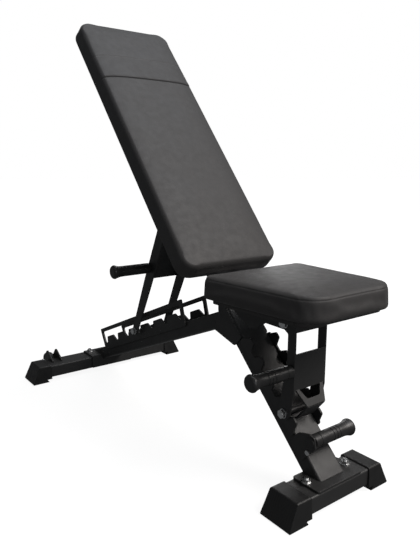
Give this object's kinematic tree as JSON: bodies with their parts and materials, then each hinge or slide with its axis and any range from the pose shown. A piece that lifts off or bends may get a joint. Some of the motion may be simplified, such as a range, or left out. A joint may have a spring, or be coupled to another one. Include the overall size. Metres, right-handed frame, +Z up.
{
  "type": "adjustable weight bench",
  "caption": "Adjustable incline weight bench: long back pad and short seat pad on an angled steel box frame, set by struts that rest in toothed ladders.",
  "frame": {"origin": "on the floor under the middle of the bench", "axes": "+X to the user's left across the bench, -Y towards the seat end, +Z up"},
  "size_m": [0.5804, 1.21, 1.1281],
  "materials": {
    "powder_coat": "matte black powder coat",
    "vinyl": "matte grained vinyl",
    "board": "stained plywood with a black dust cover",
    "zinc_steel": "bright zinc",
    "grip_rubber": "satin",
    "foot_plastic": "satin moulded rubber",
    "wheel_tread": "matte",
    "bush_plastic": "matte"
  },
  "bodies": {
    "frame": {"front_leg": "powder_coat", "spine": "powder_coat", "apex_cap": "powder_coat", "hinge_plate_left": "powder_coat", "hinge_plate_right": "powder_coat", "back_ladder_left": "powder_coat", "back_ladder_right": "powder_coat", "seat_ladder_left": "powder_coat", "seat_ladder_right": "powder_coat", "front_crossbar": "powder_coat", "front_flange": "powder_coat", "front_cap_left": "foot_plastic", "front_cap_right": "foot_plastic", "front_bolts": "zinc_steel", "rear_crossbar": "powder_coat", "rear_saddle": "powder_coat", "rear_cap_left": "foot_plastic", "rear_cap_right": "foot_plastic", "rear_bolts": "zinc_steel", "handle_bracket": "powder_coat", "handle_rod": "powder_coat", "handle_grip": "grip_rubber", "handle_screw": "zinc_steel", "wheel_bracket_left": "powder_coat", "wheel_bracket_right": "powder_coat", "wheel_axles": "zinc_steel", "main_hinge_bolt": "zinc_steel", "main_hinge_nut": "zinc_steel"},
    "backrest": {"back_pad": "vinyl", "back_board": "board", "back_tube": "powder_coat", "back_tube_cap": "foot_plastic", "back_ears": "powder_coat", "back_brackets": "powder_coat", "back_screws": "zinc_steel"},
    "back_support": {"back_strut": "powder_coat", "back_strut_rod": "powder_coat", "back_grip": "grip_rubber", "back_pivot_bolt": "zinc_steel", "back_strut_pins": "zinc_steel", "back_pin_nuts": "zinc_steel"},
    "seat": {"seat_pad": "vinyl", "seat_board": "board", "seat_frame": "powder_coat", "seat_sleeve": "powder_coat", "seat_screws": "zinc_steel"},
    "seat_support": {"seat_strut": "powder_coat", "seat_strut_rod": "powder_coat", "seat_grip": "grip_rubber", "seat_pivot_bolt": "zinc_steel", "seat_strut_pins": "zinc_steel"},
    "transport_wheel_left": {"wheel_left": "wheel_tread", "wheel_bush_left": "bush_plastic"},
    "transport_wheel_right": {"wheel_right": "wheel_tread", "wheel_bush_right": "bush_plastic"}
  },
  "joints": [
    {"name": "back_tilt", "type": "hinge", "parent": "frame", "child": "backrest", "pos_m": [0, -0.229, 0.415], "axis": [1, 0, 0], "range_deg": [-48, 31]},
    {"name": "back_strut_swing", "type": "hinge", "parent": "backrest", "child": "back_support", "pos_m": [0, -0.02049, 0.60843], "axis": [1, 0, 0], "range_deg": [-46, 72]},
    {"name": "seat_tilt", "type": "hinge", "parent": "frame", "child": "seat", "pos_m": [0, -0.229, 0.415], "axis": [-1, 0, 0], "range_deg": [0, 19]},
    {"name": "seat_strut_swing", "type": "hinge", "parent": "seat", "child": "seat_support", "pos_m": [0, -0.464, 0.386], "axis": [-1, 0, 0], "range_deg": [-46, 0]},
    {"name": "wheel_left_spin", "type": "hinge", "parent": "frame", "child": "transport_wheel_left", "pos_m": [0.19, 0.577, 0.036], "axis": [1, 0, 0], "continuous": true},
    {"name": "wheel_right_spin", "type": "hinge", "parent": "frame", "child": "transport_wheel_right", "pos_m": [-0.19, 0.577, 0.036], "axis": [1, 0, 0], "continuous": true}
  ],
  "couplings": [
    {"joint": "back_strut_swing", "follows": "back_tilt", "ratio": -1.48},
    {"joint": "seat_strut_swing", "follows": "seat_tilt", "ratio": -2.41}
  ]
}
